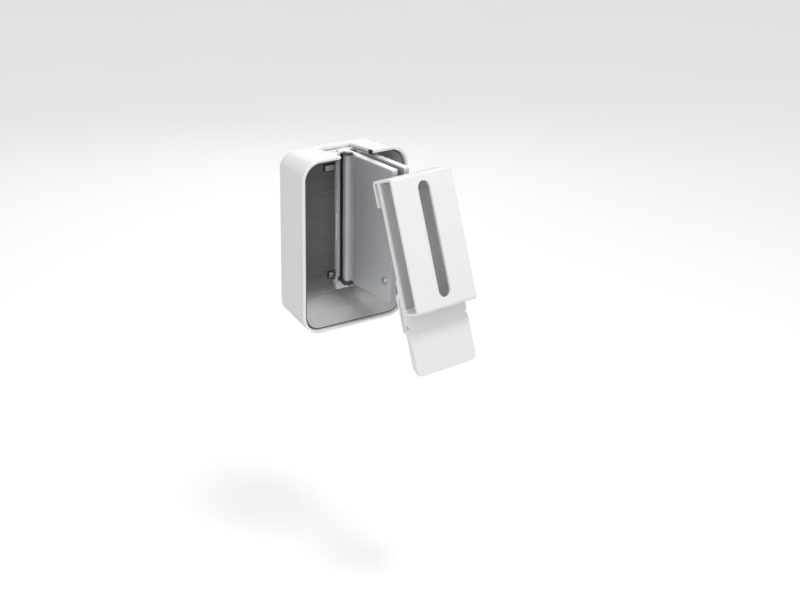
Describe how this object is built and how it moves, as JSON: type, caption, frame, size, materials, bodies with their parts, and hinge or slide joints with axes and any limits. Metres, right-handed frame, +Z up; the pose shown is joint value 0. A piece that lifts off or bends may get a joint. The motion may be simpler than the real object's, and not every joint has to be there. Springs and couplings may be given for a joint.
{
  "type": "wall-mounted dispenser",
  "caption": "Wall-mounted dispenser: flared white housing with a brushed steel liner, a swing-out arm and a tilting hook-on holder with a long slot and a tongue.",
  "frame": {"origin": "middle of the wall plate's back face, in the wall plane", "axes": "+Z up, +Y into the wall, +X to the right seen from the front"},
  "size_m": [0.1311, 0.1823, 0.1962],
  "materials": {
    "white_coat": "satin white powder coat, fine orange peel",
    "white_moulded": "fine satin moulded plastic, off-white",
    "zinc_plate": "zinc-plated sheet steel",
    "brushed_liner": "stainless sheet, brushed side to side",
    "silver_anodised": "silver anodised extrusion, satin",
    "pale_anodised": "pale anodised plate, fine satin",
    "bright_steel": "ground and polished steel",
    "spring_steel": "stainless spring sheet, fine grain",
    "black_steel": "blackened steel",
    "black_acetal": "matt black acetal",
    "dark_plastic": "dark grey moulded clip",
    "seal_rubber": "matt black rubber",
    "grey_pad": "grey fine-grained rubber sheet"
  },
  "bodies": {
    "housing": {"housing_shell": "white_coat", "wall_plate": "zinc_plate", "shell_screws": "black_steel", "liner_tray": "brushed_liner", "liner_seal": "seal_rubber", "snap_clips": "dark_plastic", "swing_stop": "seal_rubber", "hinge_carrier": "pale_anodised", "carrier_screws": "black_steel", "carrier_cap": "white_moulded", "friction_strip": "seal_rubber", "hinge_pin": "bright_steel", "lower_bearing": "black_acetal", "thrust_washer": "bright_steel", "upper_bearing": "black_acetal", "upper_tab": "spring_steel", "lower_tab": "spring_steel", "tab_seats": "seal_rubber", "tab_screws": "bright_steel", "side_spring": "pale_anodised"},
    "arm": {"arm_body": "silver_anodised", "arm_top_plate": "pale_anodised", "core_strip": "black_acetal", "pivot_pin": "bright_steel", "lock_spacer": "black_acetal", "lock_screw": "bright_steel"},
    "tilt_bracket": {"tilt_knuckle": "black_acetal", "hook_plate": "spring_steel", "bracket_screws": "black_steel"},
    "holder": {"holder_cover": "white_coat", "holder_back": "white_moulded", "holder_pad": "grey_pad", "tongue_stiffener": "white_moulded", "stiffener_tape": "seal_rubber", "lower_clip": "white_coat", "cover_rivets": "bright_steel"}
  },
  "joints": [
    {"name": "arm_swing", "type": "hinge", "parent": "housing", "child": "arm", "pos_m": [0.012, -0.0204, 0], "axis": [0, 0, 1], "range_deg": [-55, 20]},
    {"name": "holder_tilt", "type": "hinge", "parent": "arm", "child": "tilt_bracket", "pos_m": [0.02403, -0.09313, 0.075], "axis": [-0.9962, -0.0872, 0], "range_deg": [-20, 15]},
    {"name": "holder_lift", "type": "slide", "parent": "tilt_bracket", "child": "holder", "axis": [-0.0298, 0.3407, 0.9397], "range_m": [0, 0.035]}
  ]
}
